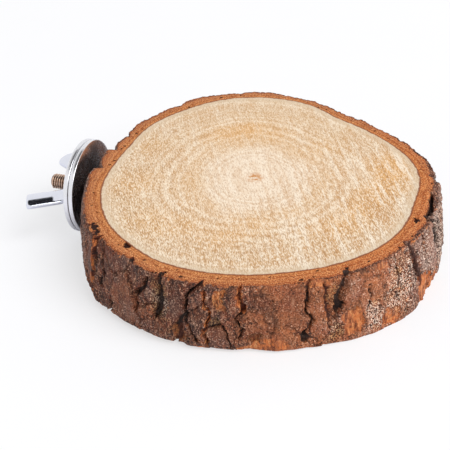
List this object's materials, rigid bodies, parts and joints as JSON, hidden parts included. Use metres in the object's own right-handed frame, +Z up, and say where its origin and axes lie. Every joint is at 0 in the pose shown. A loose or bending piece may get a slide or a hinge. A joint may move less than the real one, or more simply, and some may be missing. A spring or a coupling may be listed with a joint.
{
  "type": "bird perch",
  "caption": "Natural wood slice platform perch with bark, bolted to a cage wall by a hanger bolt, clamping washers and a wing nut.",
  "frame": {"origin": "on the underside, at the middle of the wood slice", "axes": "+Z up through the slice's sawn top; the hanger bolt leaves the edge along -X"},
  "size_m": [0.1315, 0.1177, 0.03],
  "materials": {
    "wood": "sawn end grain, unfinished",
    "inner_bark": "fibrous, matt",
    "outer_bark": "rough, fissured, matt",
    "bolt": "yellow passivated thread",
    "washer": "bright plated",
    "wing_nut": "bright plated"
  },
  "bodies": {
    "perch": {"wood_disc": "wood", "inner_bark": "inner_bark", "outer_bark": "outer_bark", "hanger_bolt": "bolt"},
    "inner_washer": {"inner_washer": "washer"},
    "outer_washer": {"outer_washer": "washer"},
    "wing_nut": {"wing_nut": "wing_nut"}
  },
  "joints": [
    {"name": "inner_washer_spin", "type": "hinge", "parent": "perch", "child": "inner_washer", "pos_m": [-0.05783, 0.00095, 0.0124], "axis": [-1, 0, 0], "continuous": true},
    {"name": "outer_washer_slide", "type": "slide", "parent": "perch", "child": "outer_washer", "axis": [-1, 0, 0], "range_m": [0, 0.00801]},
    {"name": "wing_nut_turn", "type": "hinge", "parent": "outer_washer", "child": "wing_nut", "pos_m": [-0.06043, 0.00095, 0.0124], "axis": [-1, 0, 0], "range_deg": [0, 3600]}
  ],
  "couplings": [
    {"joint": "outer_washer_slide", "follows": "wing_nut_turn", "m_per_rad": 0.00012732}
  ]
}
